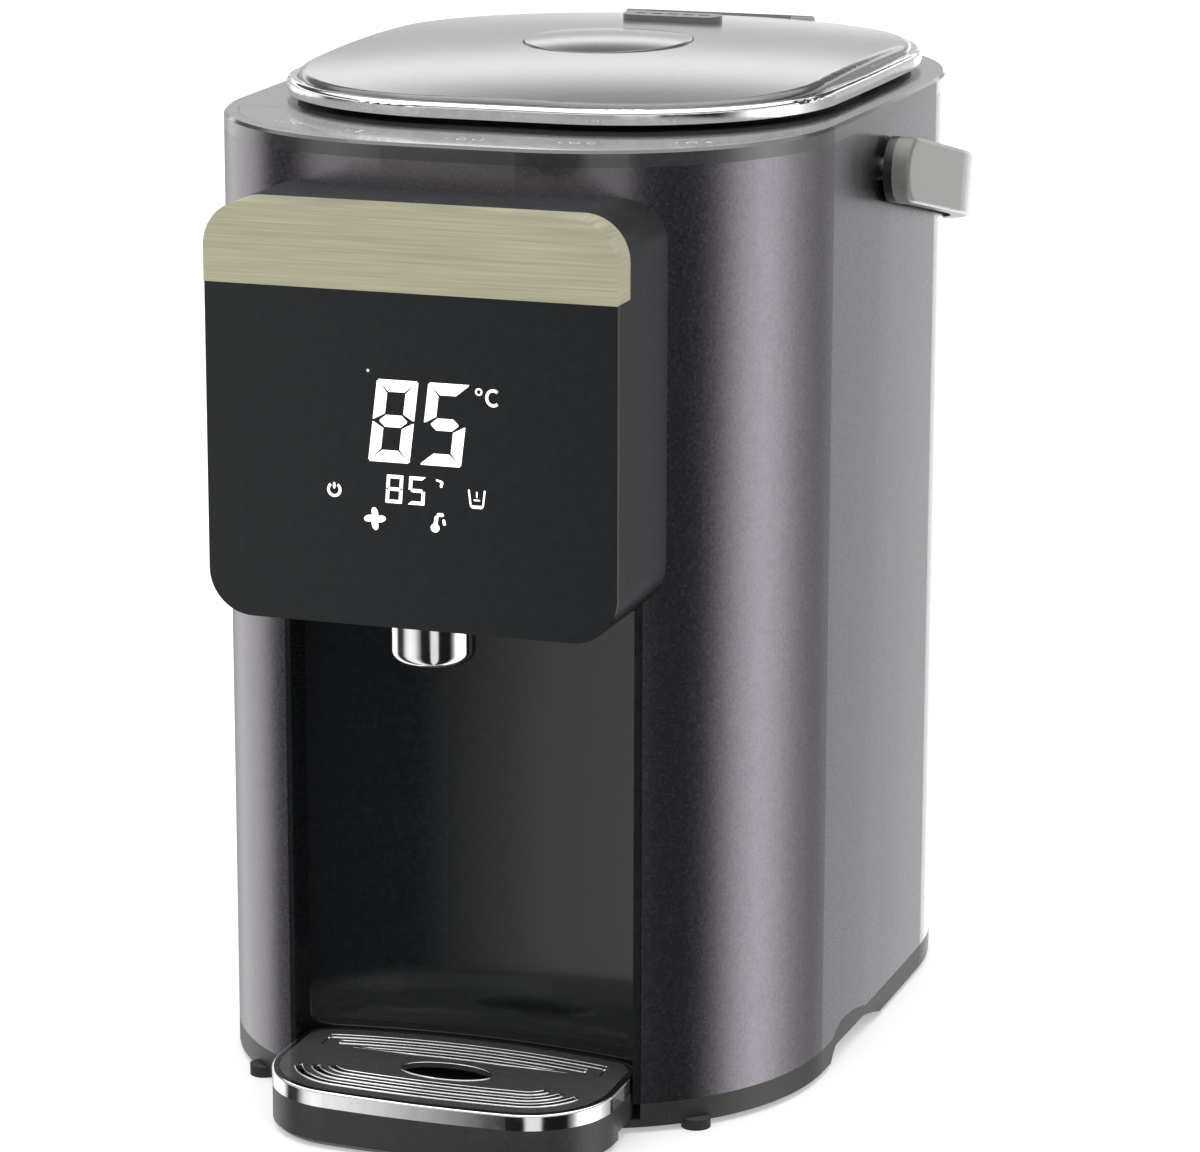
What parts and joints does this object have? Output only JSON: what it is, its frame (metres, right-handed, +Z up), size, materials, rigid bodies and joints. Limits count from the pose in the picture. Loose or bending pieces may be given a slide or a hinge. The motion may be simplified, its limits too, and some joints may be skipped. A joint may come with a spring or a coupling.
{
  "type": "electric thermo pot",
  "caption": "Tall electric thermo pot with a projecting display head, cup bay and drip tray, hinged lid with release button and folding carry handle.",
  "frame": {"origin": "bottom centre of the whole box, on the surface the pot stands on", "axes": "+Z up, -Y the front with the display head, +X to the right of someone who faces the front"},
  "size_m": [0.2366, 0.3589, 0.3462],
  "materials": {
    "shell_paint": "dark pearl paint, satin",
    "base_black": "fine moulded black",
    "rubber_foot": "matt",
    "screw_steel": "zinc plated",
    "inner_plastic": "natural moulded",
    "pump_plastic": "moulded",
    "silicone": "translucent silicone",
    "stainless": "satin stainless",
    "heater_alloy": "cast",
    "insulation": "felted glass wool",
    "collar_gloss": "gloss black",
    "key_gloss": "gloss with printed keys",
    "lid_satin": "satin black",
    "chrome_trim": "polished",
    "handle_satin": "satin grey",
    "head_gloss": "gloss black",
    "panel_glass": "black glass",
    "band_champagne": "champagne, brushed level",
    "liner_gloss": "gloss black",
    "lens_clear": "clear",
    "circuit_green": "solder mask",
    "part_dark": "component bodies",
    "brass_pin": "plain"
  },
  "bodies": {
    "pot": {"band_heater": "heater_alloy", "base_pan": "base_black", "base_screws": "screw_steel", "bay_liner": "liner_gloss", "board_parts": "part_dark", "board_posts": "screw_steel", "board_screws": "screw_steel", "display_board": "circuit_green", "display_module": "part_dark", "fan_frame": "part_dark", "feet": "rubber_foot", "handle_brackets": "inner_plastic", "handle_pivot_pins": "screw_steel", "head_band": "band_champagne", "head_front_panel": "panel_glass", "head_housing": "head_gloss", "heating_plate": "heater_alloy", "inlet_pins": "brass_pin", "inner_pot": "stainless", "insulation_sleeve": "insulation", "lamp_lens": "lens_clear", "lid_hinge_pin": "screw_steel", "nozzle_tip": "chrome_trim", "outer_shell": "shell_paint", "pot_seal": "silicone", "power_board": "circuit_green", "power_inlet": "part_dark", "pump_body": "pump_plastic", "pump_bracket": "inner_plastic", "riser_hose": "silicone", "spout_elbow": "inner_plastic", "suction_hose": "silicone", "temperature_sensor": "brass_pin", "top_collar": "collar_gloss", "touch_key_board": "circuit_green", "touch_key_strip": "key_gloss"},
    "lid": {"lid_cover": "lid_satin", "lid_trim_ring": "chrome_trim", "lid_base": "base_black", "lid_inner_plate": "stainless", "lid_gasket": "silicone", "steam_vent_cap": "handle_satin", "steam_tube": "silicone", "latch_spring": "stainless", "button_spring": "stainless"},
    "latch": {"lid_latch_bar": "inner_plastic"},
    "button": {"lid_button": "lid_satin"},
    "handle": {"carry_handle": "handle_satin"},
    "drip_tray": {"drip_tray_cup": "base_black", "drip_tray_trim": "chrome_trim"},
    "grille": {"drip_tray_grille": "chrome_trim"},
    "impeller": {"pump_impeller": "inner_plastic"},
    "fan": {"fan_rotor": "part_dark"}
  },
  "joints": [
    {"name": "lid_hinge", "type": "hinge", "parent": "pot", "child": "lid", "pos_m": [0, 0.15389, 0.3345], "axis": [-1, 0, 0], "range_deg": [0, 85]},
    {"name": "lid_button", "type": "slide", "parent": "lid", "child": "button", "axis": [0, 0, -1], "range_m": [0, 0.003], "stiffness_N_per_m": 900, "springref_m": -0.0012, "deforming": ["button_spring"]},
    {"name": "latch_slide", "type": "slide", "parent": "lid", "child": "latch", "axis": [0, 1, 0], "range_m": [0, 0.003], "stiffness_N_per_m": 200, "springref_m": -0.002, "deforming": ["latch_spring"]},
    {"name": "handle_swing", "type": "hinge", "parent": "pot", "child": "handle", "pos_m": [0, -0.00161, 0.3075], "axis": [1, 0, 0], "range_deg": [0, 100]},
    {"name": "tray_slide", "type": "slide", "parent": "pot", "child": "drip_tray", "axis": [0, -1, 0], "range_m": [0, 0.085]},
    {"name": "grille_lift", "type": "slide", "parent": "drip_tray", "child": "grille", "axis": [0, 0, 1], "range_m": [0, 0.03]},
    {"name": "impeller_spin", "type": "hinge", "parent": "pot", "child": "impeller", "pos_m": [0, -0.05861, 0.048], "axis": [0, 0, 1], "continuous": true},
    {"name": "fan_spin", "type": "hinge", "parent": "pot", "child": "fan", "pos_m": [0, 0.15339, 0.082], "axis": [0, 1, 0], "continuous": true}
  ],
  "couplings": [
    {"joint": "latch_slide", "follows": "lid_button", "ratio": 1}
  ]
}
